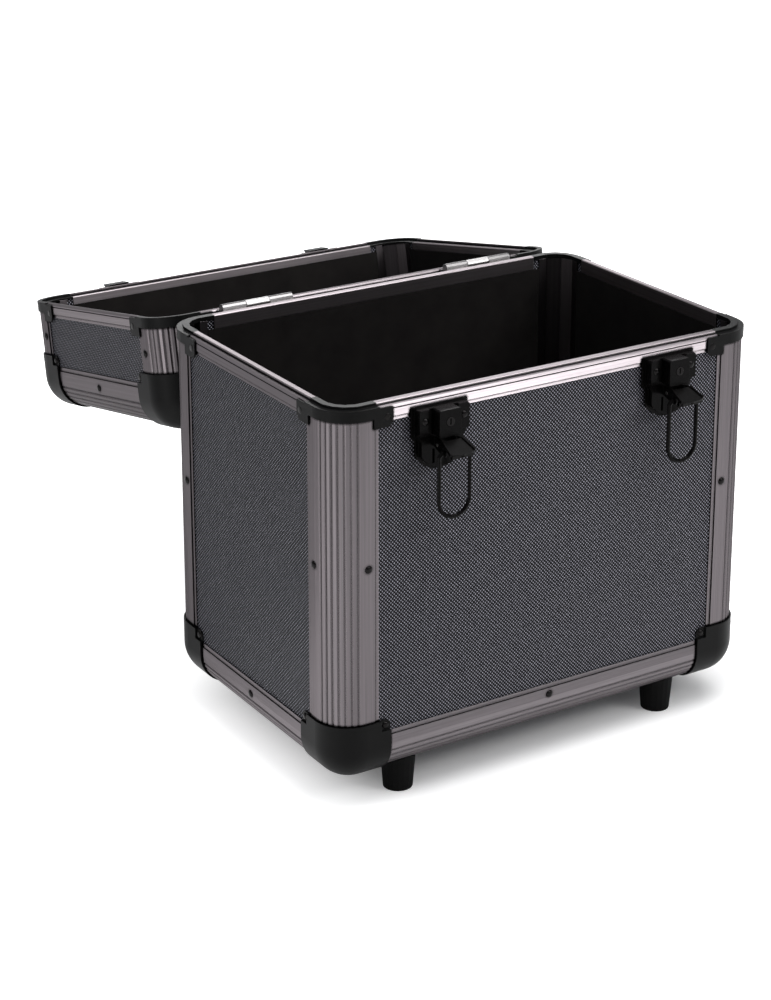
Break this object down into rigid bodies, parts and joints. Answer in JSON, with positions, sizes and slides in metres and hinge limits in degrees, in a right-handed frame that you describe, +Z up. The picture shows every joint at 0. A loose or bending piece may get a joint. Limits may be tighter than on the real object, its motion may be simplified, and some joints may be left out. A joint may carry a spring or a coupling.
{
  "type": "record carrying case",
  "caption": "Upright hard-sided carrying case with fluted aluminium edges, ball corners, draw latches and a lid that folds right back.",
  "frame": {"origin": "on the floor, under the middle of the open case seen from above", "axes": "+X to the right along the front, +Y from the latches towards the hinges, +Z up"},
  "size_m": [0.363, 0.5308, 0.3004],
  "materials": {
    "aluminium": "satin, drawn and anodised",
    "laminate": "embossed",
    "black_plastic": "satin",
    "rubber": "matte",
    "black_steel": "satin",
    "steel": "plated",
    "lining": "matte"
  },
  "bodies": {
    "body": {"body_ball_corners": "black_plastic", "body_lining": "lining", "body_panel_back": "laminate", "body_panel_floor": "laminate", "body_panel_front": "laminate", "body_panel_left": "laminate", "body_panel_right": "laminate", "body_post_back_left": "aluminium", "body_post_back_right": "aluminium", "body_post_front_left": "aluminium", "body_post_front_right": "aluminium", "body_rail_back": "aluminium", "body_rail_front": "aluminium", "body_rail_left": "aluminium", "body_rail_right": "aluminium", "body_rim_back": "aluminium", "body_rim_corners": "black_plastic", "body_rim_front": "aluminium", "body_rim_left": "aluminium", "body_rim_right": "aluminium", "feet": "rubber", "hinge_body_leaves": "steel", "hinge_pins": "steel", "latch_bases": "black_steel", "latch_lock_boxes": "black_steel", "latch_pins": "steel"},
    "lid": {"handle_brackets": "black_steel", "handle_pins": "steel", "hinge_lid_leaves": "steel", "lid_ball_corners": "black_plastic", "lid_keepers": "black_steel", "lid_lining": "lining", "lid_panel_back": "laminate", "lid_panel_front": "laminate", "lid_panel_left": "laminate", "lid_panel_right": "laminate", "lid_panel_top": "laminate", "lid_posts": "aluminium", "lid_rail_back": "aluminium", "lid_rail_front": "aluminium", "lid_rail_left": "aluminium", "lid_rail_right": "aluminium", "lid_rim_back": "aluminium", "lid_rim_corners": "black_plastic", "lid_rim_front": "aluminium", "lid_rim_left": "aluminium", "lid_rim_right": "aluminium"},
    "handle": {"handle_grip": "black_plastic"},
    "lever_left": {"latch_left_lever": "black_steel"},
    "bail_left": {"latch_left_bail": "black_steel"},
    "plug_left": {"latch_left_plug": "steel"},
    "lever_right": {"latch_right_lever": "black_steel"},
    "bail_right": {"latch_right_bail": "black_steel"},
    "plug_right": {"latch_right_plug": "steel"}
  },
  "joints": [
    {"name": "lid_hinge", "type": "hinge", "parent": "body", "child": "lid", "pos_m": [0, 0.01194, 0.297], "axis": [1, 0, 0], "range_deg": [0, 191.32]},
    {"name": "handle_swing", "type": "hinge", "parent": "lid", "child": "handle", "pos_m": [0, 0.11635, 0.17411], "axis": [1, 0, 0], "range_deg": [-91, 68]},
    {"name": "lever_left", "type": "hinge", "parent": "body", "child": "lever_left", "pos_m": [-0.0975, -0.24506, 0.266], "axis": [1, 0, 0], "range_deg": [0, 70]},
    {"name": "bail_left", "type": "hinge", "parent": "lever_left", "child": "bail_left", "pos_m": [-0.0975, -0.25355, 0.26301], "axis": [1, 0, 0], "range_deg": [-252.45, 0]},
    {"name": "plug_left", "type": "hinge", "parent": "body", "child": "plug_left", "pos_m": [-0.0975, -0.24856, 0.2822], "axis": [0, 1, 0], "range_deg": [0, 90]},
    {"name": "lever_right", "type": "hinge", "parent": "body", "child": "lever_right", "pos_m": [0.0975, -0.24506, 0.266], "axis": [1, 0, 0], "range_deg": [0, 70]},
    {"name": "bail_right", "type": "hinge", "parent": "lever_right", "child": "bail_right", "pos_m": [0.0975, -0.25355, 0.26301], "axis": [1, 0, 0], "range_deg": [-252.45, 0]},
    {"name": "plug_right", "type": "hinge", "parent": "body", "child": "plug_right", "pos_m": [0.0975, -0.24856, 0.2822], "axis": [0, 1, 0], "range_deg": [0, 90]}
  ],
  "couplings": [
    {"joint": "bail_left", "follows": "lever_left", "ratio": -3.6063},
    {"joint": "bail_right", "follows": "lever_right", "ratio": -3.6063}
  ]
}
